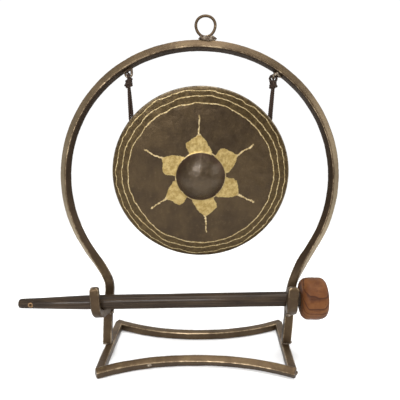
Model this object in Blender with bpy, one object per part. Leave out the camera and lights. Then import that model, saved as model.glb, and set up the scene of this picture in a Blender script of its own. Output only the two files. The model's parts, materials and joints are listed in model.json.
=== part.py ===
"""Small tam tam gong hung in a wrought-iron table stand, with its mallet in two hooks.

Lengths are millimetres, turned into metres as each mesh is written. X runs to the right,
Y away from the viewer and Z up. Sizes are measured from the middle of the arch's circle
(X = 0), the arch's own plane (Y = 0) and the table (Z = 0). At the end the whole object is
moved so that the origin lies under the middle of its bounding box.
"""

import math

import bmesh
import bpy
from mathutils import Matrix, Vector

MM = 0.001
GAP = 0.3  # play left between pieces that touch on the real object

# --- wrought-iron stand: square bar, cold bent and welded ---
LEG_BAR = 8.2
RING_BAR = 7.6  # the bar thins a little where it is bent round
BASE_BAR = 7.4
HOOK_BAR = 7.4
CORNER_R = 1.5  # worn corners of the bar

RING_R = 115.0
RING_CENTRE_Z = 157.4
RING_FLAT = 2.1  # how far the crown lies below the true circle
RING_START_DEG = 211.5
RING_END_DEG = -31.2
BASE_TOP_Z = BASE_BAR
LEG_FOOT_Z = BASE_TOP_Z + 0.7  # the legs lean, so one edge of each foot is lower
LEFT_LEG = [(-84.7, LEG_FOOT_Z), (-83.4, 29.0), (-81.4, 50.0), (-80.9, 62.5),
            (-83.0, 72.0), (-87.6, 80.7)]
RIGHT_LEG = [(79.5, LEG_FOOT_Z), (80.9, 29.0), (81.5, 50.0), (82.3, 62.5),
             (85.0, 70.8), (89.3, 80.7)]
LEFT_ROLL_DEG = 52.0  # turn of the bar on its own length where the ring starts
RIGHT_ROLL_DEG = 57.0

RAIL_CENTRE_Z = 4.65  # a rolled bar stands a little higher than a flat one
FRONT_RAIL = {"middle": (-3.15, -27.3), "half": 83.35, "bow": 20.8, "power": 2.25,
              "rolls": (17.0, 35.0)}
BACK_RAIL = {"middle": (-0.9, 21.7), "half": 83.1, "bow": 24.0, "power": 2.2,
             "rolls": (12.0, 12.0)}
SIDE_BAR_X = {"left": (-83.9, -81.3), "right": (77.6, 79.5)}  # at the front and at the back

RING_EYE_X = 4.8
RING_EYE_Z = 285.2
RING_EYE_R = 8.15
RING_WIRE = 2.5

# --- cords and the eyes that they hang in ---
EYE_WIRE = 2.3
EYE_HALF = 2.6
EYE_ROOT_Z = 252.6
EYE_WELD_R = 110.9  # the arch's inner face, from the middle of its circle
SWING_Z = 244.8
EYE_X = {"left": -58.6, "right": 60.6}
EYE_TURN_DEG = {"left": 0.0, "right": 90.0}
CORD = 1.9
CORD_LOOP_R = (EYE_WIRE + CORD) / 2 + GAP
LOOP_OPEN_DEG = 50.0  # the loop's ends stop this far below level, over the knot
KNOT_BELOW_WIRE = 6.2
KNOT_RADII = (3.2, 3.0, 3.4)
STRAND_CLEAR = 1.3  # the strands stop this far above the rim, which slopes at the hole
STRAND_SPREAD = 1.15

# --- gong: hammered bronze, turned-back rim ---
GONG_X = 0.8
GONG_R = 75.1
WALL = 2.2
DOME = 3.0
BOSS_R = 20.4
BOSS_RISE = 10.5
BOSS_FOOT = 3.0
RIM_ROUND = 1.6
RIM_DEPTH = 22.0
RIM_TAPER = 7.0
HOLE_HALF_X = 58.0
HOLE_BACK = 9.3
HOLE_D = 4.6
GONG_STEPS = 60
HINGE_Z = 208.0

# --- mallet: turned handle with a tenon in a turned head ---
MALLET_Y = -17.0
MALLET_Z = 56.7
MALLET_RISE_DEG = 1.1
HANDLE = [(-157.8, 0.0), (-157.8, 3.2), (-156.6, 4.1), (-140.0, 4.7), (-118.0, 5.5),
          (-99.0, 6.05), (-60.0, 6.2), (20.0, 6.25), (86.7, 6.3), (86.7, 4.5),
          (102.0, 4.5), (103.0, 3.8), (103.0, 0.0)]
HANG_HOLE_X = -146.0
HANG_HOLE_D = 2.6
HEAD_FROM = 87.2
HEAD_LENGTH = 22.6
HEAD_R = 18.3
HEAD_ROUND = 6.5
HEAD_END_R = 11.8
SOCKET_DEPTH = 16.6
HOOK_LEAN_X = {"left": -5.6, "right": -2.9}
HOOK_UPRIGHT_Y = {"left": -28.3, "right": -29.4}
HOOK_TOP_Z = {"left": 72.6, "right": 73.0}
HOOK_ROLL_DEG = {"left": 0.0, "right": 8.0}
HOOK_FLATTEN = {"left": 1.0, "right": 1.25}  # how much wider the hammer has made it
HOOK_BEND_R = 11.2
HOOK_TIP_SHARE = 0.72  # the hook's end is filed down to this share of the bar

IRON = ("wrought_iron", (0.075, 0.052, 0.035), 0.45, 0.85)
WELD = ("weld_metal", (0.30, 0.26, 0.21), 0.40, 0.90)
BRONZE = ("gong_bronze", (0.065, 0.043, 0.025), 0.40, 0.70)
LEATHER = ("dark_cord", (0.022, 0.014, 0.011), 0.75, 0.0)
LACQUER = ("handle_lacquer", (0.055, 0.038, 0.026), 0.35, 0.10)
HEAD_WOOD = ("head_wood", (0.155, 0.058, 0.027), 0.45, 0.0)


def clear_scene():
    """Empty the scene, so that a second run gives the same result."""
    for old in list(bpy.data.objects):
        bpy.data.objects.remove(old)


def finish_material(finish):
    """The Principled material of one finish, made once and shared by like pieces."""
    name, colour, roughness, metallic = finish
    made = bpy.data.materials.get(name)
    if made is None:
        made = bpy.data.materials.new(name)
        made.use_nodes = True
        shader = made.node_tree.nodes["Principled BSDF"]
        shader.inputs["Base Color"].default_value = (*colour, 1.0)
        shader.inputs["Roughness"].default_value = roughness
        shader.inputs["Metallic"].default_value = metallic
    return made


def empty(name, place, parent=None, rotation=(0.0, 0.0, 0.0)):
    """A joint or frame marker at a place in millimetres, relative to its parent."""
    marker = bpy.data.objects.new(name, None)
    bpy.context.scene.collection.objects.link(marker)
    marker.parent = parent
    marker.location = Vector(place) * MM
    marker.rotation_euler = rotation
    return marker


def make_piece(name, shape, finish, parent, place=(0.0, 0.0, 0.0)):
    """Write a bmesh in millimetres as one named piece, seen from its parent's frame."""
    bmesh.ops.recalc_face_normals(shape, faces=shape.faces)
    bmesh.ops.scale(shape, vec=(MM, MM, MM), verts=shape.verts)
    mesh = bpy.data.meshes.new(name)
    shape.to_mesh(mesh)
    shape.free()
    mesh.shade_smooth()
    mesh.set_sharp_from_angle(angle=math.radians(40))
    mesh.materials.append(finish_material(finish))
    made = bpy.data.objects.new(name, mesh)
    bpy.context.scene.collection.objects.link(made)
    made.parent = parent
    made.location = Vector(place) * MM
    return made


def make_cutter(name, shape, parent, place=(0.0, 0.0, 0.0)):
    """A hidden shape that only takes material away from other pieces."""
    made = make_piece(name, shape, IRON, parent, place)
    made.hide_render = True
    made.display_type = "WIRE"
    return made


def cut_away(piece, *cutters):
    """Take each cutter's shape out of a piece."""
    for cutter in cutters:
        boolean = piece.modifiers.new("cut_" + cutter.name, "BOOLEAN")
        boolean.operation = "DIFFERENCE"
        boolean.solver = "EXACT"
        boolean.object = cutter


def blend_value(start, end, share):
    """A smooth step from start to end as share goes from 0 to 1."""
    share = min(max(share, 0.0), 1.0)
    return start + (end - start) * share * share * (3 - 2 * share)


def smooth_route(knots, per_span):
    """A Catmull-Rom curve through the knots, with per_span points on each span."""
    points = [Vector(knot) for knot in knots]
    ends = [2 * points[0] - points[1]] + points + [2 * points[-1] - points[-2]]
    route = []
    for before, first, second, after in zip(ends, ends[1:], ends[2:], ends[3:]):
        for step in range(per_span):
            t = step / per_span
            route.append(0.5 * (2 * first + (second - before) * t
                                + (2 * before - 5 * first + 4 * second - after) * t * t
                                + (3 * first - before - 3 * second + after) * t ** 3))
    route.append(points[-1])
    return route


def bar_section(side):
    """A square of that side with its corners taken off, as (u, v) points."""
    half = side / 2
    flat = half - CORNER_R
    return [(half, -flat), (half, flat), (flat, half), (-flat, half),
            (-half, flat), (-half, -flat), (-flat, -half), (flat, -half)]


def sweep(route, sections, reference, rolls):
    """A solid bar along a route. sections and rolls (degrees) have one entry per point;
    reference is the direction that the bar's second face looks to when it isn't rolled."""
    shape = bmesh.new()
    rings = []
    for index, point in enumerate(route):
        ahead = route[min(index + 1, len(route) - 1)] - route[max(index - 1, 0)]
        across = reference.cross(ahead).normalized()
        up = ahead.cross(across).normalized()
        turn = math.radians(rolls[index])
        axis_u = math.cos(turn) * across + math.sin(turn) * up
        axis_v = math.cos(turn) * up - math.sin(turn) * across
        rings.append([shape.verts.new(point + u * axis_u + v * axis_v)
                      for u, v in sections[index]])
    for ring, following in zip(rings, rings[1:]):
        for a in range(len(ring)):
            b = (a + 1) % len(ring)
            shape.faces.new((ring[a], ring[b], following[b], following[a]))
    shape.faces.new(rings[0])
    shape.faces.new(rings[-1])
    return shape


def turned(profile, steps, axis):
    """A solid of revolution. profile is (radius, height) points, a closed loop or a line
    that starts and ends on the axis; axis turns local +Z to where the height runs."""
    shape = bmesh.new()
    rings = []
    for radius, height in profile:
        if radius == 0.0:
            rings.append([shape.verts.new(axis @ Vector((0.0, 0.0, height)))])
            continue
        angles = [2 * math.pi * step / steps for step in range(steps)]
        rings.append([shape.verts.new(axis @ Vector((radius * math.cos(a), radius * math.sin(a),
                                                     height))) for a in angles])
    for ring, following in zip(rings, rings[1:]):
        for a in range(steps):
            b = (a + 1) % steps
            corners = [ring[a % len(ring)], ring[b % len(ring)],
                       following[b % len(following)], following[a % len(following)]]
            shape.faces.new(list(dict.fromkeys(corners)))
    return shape


def arc_points(centre, radius, start_deg, end_deg, steps):
    """Points on an arc in the (radius, forward) plane."""
    angles = [math.radians(start_deg + (end_deg - start_deg) * i / steps)
              for i in range(steps + 1)]
    return [(centre[0] + radius * math.cos(a), centre[1] + radius * math.sin(a)) for a in angles]


def ellipsoid(radii, centre=(0.0, 0.0, 0.0), steps=12, turn=None):
    """A closed lump of the given radii."""
    shape = bmesh.new()
    bmesh.ops.create_uvsphere(shape, u_segments=steps, v_segments=steps // 2 + 1, radius=1.0)
    place = Matrix.Translation(centre) @ (turn or Matrix()) @ Matrix.Diagonal((*radii, 1.0))
    bmesh.ops.transform(shape, matrix=place, verts=shape.verts)
    return shape


def rod(start, end, diameter, steps=12):
    """A straight round rod between two points."""
    start, end = Vector(start), Vector(end)
    shape = bmesh.new()
    bmesh.ops.create_cone(shape, cap_ends=True, segments=steps, radius1=diameter / 2,
                          radius2=diameter / 2, depth=(end - start).length)
    turn = Vector((0, 0, 1)).rotation_difference(end - start).to_matrix().to_4x4()
    bmesh.ops.transform(shape, matrix=Matrix.Translation((start + end) / 2) @ turn,
                        verts=shape.verts)
    return shape


def round_wire(name, points, diameter, finish, parent, closed=False):
    """A wire, ring or cord: a bevelled curve on a poly line."""
    curve = bpy.data.curves.new(name, "CURVE")
    curve.dimensions = "3D"
    curve.bevel_depth = diameter / 2 * MM
    curve.bevel_resolution = 2
    curve.use_fill_caps = not closed
    line = curve.splines.new("POLY")
    line.points.add(len(points) - 1)
    for target, point in zip(line.points, points):
        target.co = (*(Vector(point) * MM), 1.0)
    line.use_cyclic_u = closed
    curve.materials.append(finish_material(finish))
    made = bpy.data.objects.new(name, curve)
    bpy.context.scene.collection.objects.link(made)
    made.parent = parent
    return made


# ---------------------------------------------------------------- stand

def arch_route():
    """The arch's centreline from the left foot over the crown to the right foot, in three
    stretches: the left leg, the ring, and the right leg."""
    left = smooth_route([(x, 0.0, z) for x, z in LEFT_LEG] + [ring_point(RING_START_DEG)], 3)
    right = smooth_route([(x, 0.0, z) for x, z in RIGHT_LEG] + [ring_point(RING_END_DEG)], 3)
    steps = 40
    span = RING_END_DEG - RING_START_DEG
    ring = [ring_point(RING_START_DEG + span * step / steps) for step in range(1, steps)]
    return left, ring, right[::-1]


def ring_point(angle_deg):
    """A point of the arch's ring; its crown is slightly flattened."""
    angle = math.radians(angle_deg)
    radius = RING_R - RING_FLAT * max(math.sin(angle), 0.0) ** 6
    return Vector((radius * math.cos(angle), 0.0, RING_CENTRE_Z + radius * math.sin(angle)))


def arch_shape(grow=0.0):
    """The arch bar: flat faces forward in the legs, rolled towards its edge in the ring."""
    left, ring, right = arch_route()
    sides = []
    rolls = []
    for index in range(len(left)):
        share = (index / len(left) - 0.55) / 0.45
        sides.append(blend_value(LEG_BAR, RING_BAR, share))
        rolls.append(blend_value(0.0, LEFT_ROLL_DEG, share))
    for index in range(len(ring)):
        sides.append(RING_BAR)
        rolls.append(blend_value(LEFT_ROLL_DEG, RIGHT_ROLL_DEG, index / len(ring)))
    for index in range(len(right)):
        share = (index / len(right)) / 0.45
        sides.append(blend_value(RING_BAR, LEG_BAR, share))
        rolls.append(blend_value(RIGHT_ROLL_DEG, 0.0, share))
    sections = [bar_section(side + 2 * grow) for side in sides]
    return sweep(left + ring + right, sections, Vector((0, -1, 0)), rolls)


def rail_point(rail, x):
    """Where a rail's centreline is at a place along X."""
    middle_x, middle_y = rail["middle"]
    bow = rail["bow"] * abs((x - middle_x) / rail["half"]) ** rail["power"]
    return Vector((x, middle_y + math.copysign(bow, middle_y), RAIL_CENTRE_Z))


def rail_shape(rail, grow=0.0):
    """A base rail, bowed in plan so that the two rails come nearest in the middle."""
    steps = 22
    shares = [2 * step / steps - 1 for step in range(steps + 1)]
    route = [rail_point(rail, rail["middle"][0] + rail["half"] * share) for share in shares]
    first, last = rail["rolls"]
    rolls = [first + (last - first) * step / steps for step in range(steps + 1)]
    sections = [bar_section(BASE_BAR + 2 * grow)] * len(route)
    return sweep(route, sections, Vector((0, 0, 1)), rolls)


def side_bar_ends(side):
    """A side bar's two ends in plan: it stops on the centreline of each rail."""
    inward = BASE_BAR / 2 if side == "left" else -BASE_BAR / 2
    front_x, back_x = SIDE_BAR_X[side]
    return ((front_x, rail_point(FRONT_RAIL, front_x + inward).y),
            (back_x, rail_point(BACK_RAIL, back_x + inward).y))


def side_bar_shape(side, grow=0.0):
    """A straight base side bar, lying flat; the rails' ends are cut out of it later."""
    route = [Vector((x, y, BASE_BAR / 2)) for x, y in side_bar_ends(side)]
    sections = [bar_section(BASE_BAR + 2 * grow)] * 2
    return sweep(route, sections, Vector((0, 0, 1)), [0.0, 0.0])


def leg_x(side, height):
    """Where a leg's centreline is at a height, between its foot and the hook."""
    (x0, z0), (x1, z1), (x2, z2) = (LEFT_LEG if side == "left" else RIGHT_LEG)[:3]
    if height < z1:
        return x0 + (x1 - x0) * (height - z0) / (z1 - z0)
    return x1 + (x2 - x1) * (height - z1) / (z2 - z1)


def handle_radius(x):
    """The mallet handle's radius at a place along it."""
    for (x0, r0), (x1, r1) in zip(HANDLE, HANDLE[1:]):
        if x0 <= x <= x1 and x1 > x0:
            return r0 + (r1 - r0) * (x - x0) / (x1 - x0)
    return HANDLE[-1][1]


def hook_floor_z(side):
    """The height of a hook's lower run, so that the handle rests on it."""
    x = (LEFT_LEG if side == "left" else RIGHT_LEG)[2][0]
    axis_z = MALLET_Z + math.tan(math.radians(MALLET_RISE_DEG)) * x
    return axis_z - handle_radius(x) - 2 * GAP - HOOK_BAR / 2


def hook_shape(side, grow=0.0):
    """A mallet hook: a bar out of the leg's front that turns up in a quarter bend."""
    floor_z = hook_floor_z(side)
    root_x = leg_x(side, floor_z)
    root_y = -LEG_BAR / 2 + 1.0
    bend_y = HOOK_UPRIGHT_Y[side] + HOOK_BEND_R
    plan = [(root_y, floor_z), ((root_y + bend_y) / 2, floor_z)]
    for step in range(7):
        angle = math.radians(90.0 * step / 6)
        plan.append((bend_y - HOOK_BEND_R * math.sin(angle),
                     floor_z + HOOK_BEND_R * (1 - math.cos(angle))))
    plan.append((HOOK_UPRIGHT_Y[side], HOOK_TOP_Z[side] - 1.6))
    plan.append((HOOK_UPRIGHT_Y[side], HOOK_TOP_Z[side]))
    route = []
    sections = []
    rolls = []
    for y, z in plan:
        out = (root_y - y) / (root_y - HOOK_UPRIGHT_Y[side])
        route.append(Vector((root_x + HOOK_LEAN_X[side] * out, y, z)))
        bent = 1.6 * out - 0.6
        wider = blend_value(1.0, HOOK_FLATTEN[side], bent)
        sections.append([(u / wider, v * wider) for u, v in bar_section(HOOK_BAR + 2 * grow)])
        rolls.append(blend_value(0.0, HOOK_ROLL_DEG[side], bent))
    sections[-1] = [(HOOK_TIP_SHARE * u, HOOK_TIP_SHARE * v) for u, v in sections[-1]]
    return sweep(route, sections, Vector((1.0, 0.0, 0.0)), rolls)


def build_stand(frame):
    """Every iron piece of the stand, its welds, and the ring and eyes on the arch."""
    cutters = {
        "arch": make_cutter("cutter_arch", arch_shape(GAP), frame),
        "front": make_cutter("cutter_front", rail_shape(FRONT_RAIL, GAP), frame),
        "back": make_cutter("cutter_back", rail_shape(BACK_RAIL, GAP), frame),
    }
    make_piece("arch_bar", arch_shape(), IRON, frame)
    make_piece("base_front_rail", rail_shape(FRONT_RAIL), IRON, frame)
    make_piece("base_back_rail", rail_shape(BACK_RAIL), IRON, frame)
    for side in SIDE_BAR_X:
        bar = make_piece(f"base_{side}_side_bar", side_bar_shape(side), IRON, frame)
        cut_away(bar, cutters["front"], cutters["back"])
        cutters[side] = make_cutter(f"cutter_{side}", side_bar_shape(side, GAP), frame)
        hook_z = hook_floor_z(side)
        hook = make_piece(f"mallet_hook_{side}", hook_shape(side), IRON, frame)
        cut_away(hook, cutters["arch"])
        hook_cutter = make_cutter(f"cutter_hook_{side}", hook_shape(side, GAP), frame)
        foot = (leg_x(side, LEG_FOOT_Z), 0.0, BASE_TOP_Z + 0.8)
        weld(f"leg_weld_{side}", foot, (5.9, 6.4, 2.8), frame, cutters["arch"], cutters[side])
        root = (leg_x(side, hook_z), -LEG_BAR / 2 - 0.9, hook_z)
        weld(f"hook_weld_{side}", root, (5.6, 2.4, 5.4), frame, cutters["arch"], hook_cutter)
        inward = 1.0 if side == "left" else -1.0
        front, back = side_bar_ends(side)
        for end, (x, y), towards in (("front", front, 1.0), ("back", back, -1.0)):
            place = (x + 4.0 * inward, y + 5.2 * towards, BASE_BAR / 2 + 0.3)
            weld(f"corner_weld_{end}_{side}", place, (3.0, 3.6, 3.1), frame,
                 cutters[end], cutters[side])
        build_eye(side, frame, cutters["arch"])
    build_hanging_ring(frame, cutters["arch"])


def weld(name, centre, radii, frame, *cutters, slope=0.0):
    """A weld bead: a lump laid over a joint, cut back to the faces of the bars. slope
    turns it about Y, to lie along the arch."""
    turn = Matrix.Rotation(slope, 4, "Y")
    bead = make_piece(name, ellipsoid(radii, centre, turn=turn), WELD, frame)
    cut_away(bead, *cutters)


def ring_loop(radius):
    """The hanging ring's centreline."""
    steps = 28
    return [(RING_EYE_X + radius * math.sin(2 * math.pi * step / steps), 0.0,
             RING_EYE_Z + radius * math.cos(2 * math.pi * step / steps)) for step in range(steps)]


def build_hanging_ring(frame, arch_cutter):
    """The wire ring on the crown that the whole gong can be carried or hung by."""
    round_wire("hanging_ring", ring_loop(RING_EYE_R), RING_WIRE, IRON, frame, closed=True)
    around = arc_points((RING_EYE_R, 0.0), RING_WIRE / 2 + GAP, 0.0, 360.0, 10)
    tube = turned(around, 28, Matrix.Rotation(math.radians(90.0), 3, "X"))
    bmesh.ops.remove_doubles(tube, verts=tube.verts, dist=0.001)
    ring_cutter = make_cutter("cutter_ring", tube, frame, (RING_EYE_X, 0.0, RING_EYE_Z))
    weld("hanging_ring_weld", (RING_EYE_X + 1.6, 0.0, 275.2), (8.6, 3.6, 2.6), frame,
         arch_cutter, ring_cutter)


def eye_line(side):
    """A U of wire that hangs from the arch: both ends in the iron, the bend below."""
    low_z = SWING_Z if side == "left" else SWING_Z - CORD_LOOP_R
    turn = math.radians(EYE_TURN_DEG[side])
    line = [(EYE_HALF + 0.5, EYE_ROOT_Z)]
    for step in range(9):
        angle = math.pi * step / 8
        line.append((EYE_HALF * math.cos(angle), low_z + EYE_HALF * (1 - math.sin(angle))))
    line.append((-EYE_HALF - 0.5, EYE_ROOT_Z))
    return [(EYE_X[side] + out * math.cos(turn), out * math.sin(turn), z) for out, z in line]


def eye_shape(side, diameter):
    """The eye's wire as a solid, so that its ends can be cut back to the arch."""
    route = smooth_route(eye_line(side), 1)
    turn = math.radians(EYE_TURN_DEG[side])
    beside = Vector((-math.sin(turn), math.cos(turn), 0.0))
    angles = [2 * math.pi * step / 10 for step in range(10)]
    section = [(diameter / 2 * math.cos(a), diameter / 2 * math.sin(a)) for a in angles]
    return sweep(route, [section] * len(route), beside, [0.0] * len(route))


def build_eye(side, frame, arch_cutter):
    """A cord eye and the weld that holds it under the arch."""
    eye = make_piece(f"cord_eye_{side}", eye_shape(side, EYE_WIRE), WELD, frame)
    cut_away(eye, arch_cutter)
    eye_cutter = make_cutter(f"cutter_eye_{side}", eye_shape(side, EYE_WIRE + 2 * GAP), frame)
    slope = math.asin(EYE_X[side] / EYE_WELD_R)
    place = (EYE_X[side], 0.0, RING_CENTRE_Z + EYE_WELD_R * math.cos(slope))
    weld(f"eye_weld_{side}", place, (5.8, 5.2, 2.8), frame, arch_cutter, eye_cutter, slope=slope)


# ---------------------------------------------------------------- cords

def build_cords(swing):
    """Each side's doubled cord: a loop over the eye, a knot, and two strands to the gong.
    Places are relative to the swing axis."""
    for side, eye_x in EYE_X.items():
        turn = math.radians(90.0 - EYE_TURN_DEG[side])
        wire_z = 0.0 if side == "left" else -CORD_LOOP_R
        loop = []
        for step in range(13):
            sweep_deg = (180.0 + 2 * LOOP_OPEN_DEG) * step / 12
            angle = math.radians(sweep_deg - LOOP_OPEN_DEG)
            out = CORD_LOOP_R * math.cos(angle)
            loop.append((eye_x + out * math.cos(turn), out * math.sin(turn),
                         wire_z + CORD_LOOP_R * math.sin(angle)))
        round_wire(f"cord_loop_{side}", loop, CORD, LEATHER, swing)
        knot_z = wire_z - KNOT_BELOW_WIRE
        make_piece(f"cord_knot_{side}", ellipsoid(KNOT_RADII), LEATHER, swing,
                   (eye_x, 0.0, knot_z))
        hole_x = GONG_X + math.copysign(HOLE_HALF_X, eye_x)
        slope = HOLE_HALF_X / hole_height()
        for name, step in (("inner", -1.0), ("outer", 1.0)):
            spread = math.copysign(STRAND_SPREAD, eye_x) * step
            top = Vector((eye_x + 0.9 * spread, 0.0, knot_z - KNOT_RADII[2] - GAP))
            rise = STRAND_CLEAR + slope * (CORD / 2 - step * STRAND_SPREAD)
            end = Vector((hole_x + spread, 0.0, HINGE_Z + rise - SWING_Z))
            line = [top.lerp(end, share / 4) for share in range(5)]
            round_wire(f"cord_{side}_{name}_strand", line, CORD, LEATHER, swing)


# ---------------------------------------------------------------- gong

def gong_profile():
    """The gong's wall as a closed (radius, forward) line: out over the front, round the
    rim, back along the turned-back edge, and home along the inside."""
    def dome(radius):
        return DOME * (1 - (radius / GONG_R) ** 2)

    def flange_radius(back):
        return GONG_R - RIM_TAPER * (back / RIM_DEPTH) ** 1.2

    boss_ball = (BOSS_R ** 2 + BOSS_RISE ** 2) / (2 * BOSS_RISE)
    boss_low = dome(BOSS_R)
    front = [(0.0, boss_low + BOSS_RISE)]
    for share in (0.22, 0.42, 0.62, 0.8, 0.93):
        r = BOSS_R * share
        front.append((r, boss_low + BOSS_RISE - boss_ball + math.sqrt(boss_ball ** 2 - r ** 2)))
    front.append((BOSS_R + 0.4, boss_low + 0.5))
    front.append((BOSS_R + BOSS_FOOT, dome(BOSS_R + BOSS_FOOT)))
    front += [(r, dome(r)) for r in (32.0, 41.0, 50.0, 59.0, 67.0)]
    rim = arc_points((GONG_R - RIM_ROUND, -0.2), RIM_ROUND, 66.0, 0.0, 3)
    edge = [(flange_radius(back), -back) for back in (4.0, 10.0, 16.0, RIM_DEPTH)]
    inside = [(r - WALL, height) for r, height in reversed(edge)]
    inside += [(GONG_R - RIM_ROUND - WALL, dome(GONG_R - RIM_ROUND) - WALL)]
    inside += [(r, dome(r) - WALL) for r in (62.0, 48.0, 34.0, BOSS_R + BOSS_FOOT - 1.0)]
    inside += [(0.86 * BOSS_R, boss_low + 0.18 * BOSS_RISE),
               (0.5 * BOSS_R, boss_low + 0.80 * BOSS_RISE - WALL),
               (0.0, boss_low + BOSS_RISE - WALL)]
    return front + rim + edge + inside


def hanging_tilt(profile):
    """How far the gong's top leans forward when its weight hangs under its two holes."""
    volume = moment = 0.0
    r0, f0 = profile[0]
    for (r1, f1), (r2, f2) in zip(profile[1:], profile[2:]):
        area = ((r1 - r0) * (f2 - f0) - (r2 - r0) * (f1 - f0)) / 2
        r_sum, f_sum = r0 + r1 + r2, f0 + f1 + f2
        volume += area * r_sum / 3
        moment += area * (r_sum * f_sum + r0 * f0 + r1 * f1 + r2 * f2) / 12
    return math.atan2(moment / volume + HOLE_BACK, hole_height())


def hole_height():
    """How far the two holes are above the gong's middle, measured along its face."""
    return math.sqrt((GONG_R - RIM_TAPER * (HOLE_BACK / RIM_DEPTH) ** 1.2) ** 2 - HOLE_HALF_X ** 2)


def build_gong(swing):
    """The gong on its own hinge line through the two holes, with the stopper knots."""
    profile = gong_profile()
    tilt = hanging_tilt(profile)
    pivot = empty("gong_pivot", (GONG_X, 0.0, HINGE_Z - SWING_Z), swing, (tilt, 0.0, 0.0))
    face_forward = Matrix.Rotation(math.radians(90.0), 3, "X")
    centre = Vector((0.0, -HOLE_BACK, -hole_height()))
    shell = make_piece("gong", turned(profile, GONG_STEPS, face_forward), BRONZE, pivot, centre)
    for side, sign in (("left", -1.0), ("right", 1.0)):
        hole = Vector((sign * HOLE_HALF_X, 0.0, 0.0))
        outward = Vector((hole.x, 0.0, hole_height())).normalized()
        start, end = hole - 6.0 * outward, hole + 5.0 * outward
        cut_away(shell, make_cutter(f"cutter_hole_{side}", rod(start, end, HOLE_D), pivot))
        knot_centre = hole - (WALL + GAP + 3.2) * outward
        knot = ellipsoid((3.2, 3.2, 3.2), knot_centre)
        make_piece(f"stopper_knot_{side}", knot, LEATHER, pivot)
        plug = rod(hole - (WALL + 0.2) * outward, hole + 0.2 * outward, HOLE_D - 4 * GAP, 8)
        make_piece(f"cord_end_{side}", plug, LEATHER, pivot)


# ---------------------------------------------------------------- mallet

def build_mallet(frame):
    """The mallet lying in the two hooks; its axis rises slightly to the right."""
    rise = math.radians(-MALLET_RISE_DEG)
    rest = empty("mallet_rest", (0.0, MALLET_Y, MALLET_Z), frame, (0.0, rise, 0.0))
    along_x = Matrix.Rotation(math.radians(90.0), 3, "Y")
    handle_line = [(radius, x) for x, radius in HANDLE]
    handle = make_piece("mallet_handle", turned(handle_line, 20, along_x), LACQUER, rest)
    hang_hole = rod((HANG_HOLE_X, -8.0, 0.0), (HANG_HOLE_X, 8.0, 0.0), HANG_HOLE_D)
    cut_away(handle, make_cutter("cutter_hang_hole", hang_hole, rest))
    end = HEAD_FROM + HEAD_LENGTH
    tenon_r = 4.5 + GAP
    corner = HEAD_R - HEAD_ROUND
    line = [(0.0, HEAD_FROM + SOCKET_DEPTH), (tenon_r, HEAD_FROM + SOCKET_DEPTH),
            (tenon_r, HEAD_FROM), (HEAD_END_R, HEAD_FROM)]
    line += [(corner + HEAD_ROUND * math.sin(a), HEAD_FROM + HEAD_ROUND * (1 - math.cos(a)))
             for a in (0.35, 0.8, 1.2, math.pi / 2)]
    line += [(corner + HEAD_ROUND * math.cos(a), end - HEAD_ROUND * (1 - math.sin(a)))
             for a in (0.0, 0.4, 0.8, 1.25)]
    line += [(HEAD_END_R, end), (0.0, end)]
    make_piece("mallet_head", turned(line, 32, along_x), HEAD_WOOD, rest)


def centre_on_table(frame):
    """Put the origin under the middle of the bounding box of everything visible."""
    bpy.context.view_layer.update()
    shapes = bpy.context.evaluated_depsgraph_get()
    corners = []
    for piece in bpy.data.objects:
        if piece.type == "EMPTY" or piece.hide_render:
            continue
        solid = piece.evaluated_get(shapes)
        mesh = solid.to_mesh()
        corners += [solid.matrix_world @ vertex.co for vertex in mesh.vertices]
        solid.to_mesh_clear()
    for axis in (0, 1):
        values = [corner[axis] for corner in corners]
        frame.location[axis] = -(min(values) + max(values)) / 2
    frame.location[2] = -min(corner[2] for corner in corners)


clear_scene()
stand_frame = empty("stand_frame", (0.0, 0.0, 0.0))
build_stand(stand_frame)
cord_swing = empty("cord_swing", (0.0, 0.0, SWING_Z), stand_frame)
build_cords(cord_swing)
build_gong(cord_swing)
build_mallet(stand_frame)
centre_on_table(stand_frame)
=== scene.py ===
"""The finished look of a small tam tam gong in its wrought-iron table stand.

Lengths in the sections below are millimetres in the stand's own frame: X from the middle
of the arch's circle, Y from the arch's plane away from the player, Z from the table.
"""

import json
import math

import bmesh
import bpy
import numpy as np
from mathutils import Matrix, Vector, noise


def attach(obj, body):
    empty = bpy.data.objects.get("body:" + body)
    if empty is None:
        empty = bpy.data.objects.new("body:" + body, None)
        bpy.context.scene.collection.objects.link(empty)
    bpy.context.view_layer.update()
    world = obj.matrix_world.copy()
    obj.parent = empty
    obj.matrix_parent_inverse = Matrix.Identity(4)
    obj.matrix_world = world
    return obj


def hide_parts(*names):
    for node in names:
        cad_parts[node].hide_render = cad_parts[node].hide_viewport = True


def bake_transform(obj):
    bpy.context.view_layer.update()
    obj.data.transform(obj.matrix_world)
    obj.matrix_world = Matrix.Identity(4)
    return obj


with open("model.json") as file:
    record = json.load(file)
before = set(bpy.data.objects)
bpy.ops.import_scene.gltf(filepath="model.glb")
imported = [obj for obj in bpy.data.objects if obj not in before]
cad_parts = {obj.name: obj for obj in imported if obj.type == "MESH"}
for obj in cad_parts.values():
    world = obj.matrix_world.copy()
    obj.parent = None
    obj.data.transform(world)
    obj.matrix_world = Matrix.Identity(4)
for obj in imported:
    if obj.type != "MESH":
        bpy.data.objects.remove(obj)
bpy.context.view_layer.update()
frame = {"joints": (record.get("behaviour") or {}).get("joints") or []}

# ---------------------------------------------------------------- camera
# A viewer sits in front of the stand, a little above the gong, and looks slightly down.
# The stand's frame is found from the line that the gong swings on, between its two eyes.

MM = 0.001
hinges = {joint["name"]: joint for joint in frame["joints"]}
SWING = Vector(hinges["cord_swing"]["pos_m"])


def at(x, y, z):
    """A place in the stand's frame as a point in metres."""
    return Vector((SWING.x + x * MM, SWING.y + y * MM, z * MM))


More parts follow.
